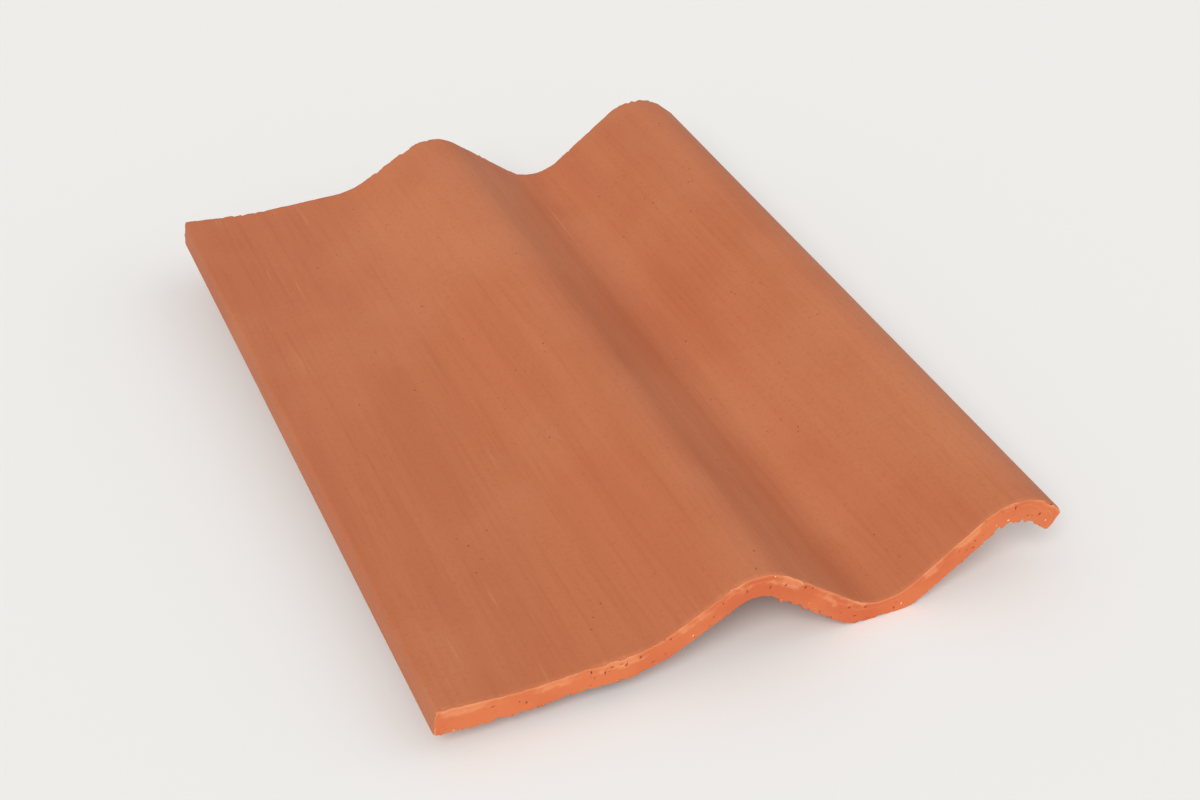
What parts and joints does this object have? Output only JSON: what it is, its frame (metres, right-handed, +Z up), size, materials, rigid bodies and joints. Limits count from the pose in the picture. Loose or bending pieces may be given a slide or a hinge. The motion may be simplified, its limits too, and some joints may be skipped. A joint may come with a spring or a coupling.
{
  "type": "clay roof tile",
  "caption": "Extruded clay roof tile with a hooked side, a deep water channel, a round roll and a flat pan with a lip; flat rib stubs and nibs underneath.",
  "frame": {"origin": "on the floor below the middle of the tile's bounding box, the tile lying weather side up as it rests on its two nibs and its tail", "axes": "+X across the tile towards the hook, +Y along the tile from the tail to the head, +Z up"},
  "size_m": [0.2968, 0.4018, 0.0591],
  "materials": {
    "clay": "matt fired clay, wire-cut ends"
  },
  "bodies": {
    "root": {"roof_tile": "clay"}
  },
  "joints": []
}
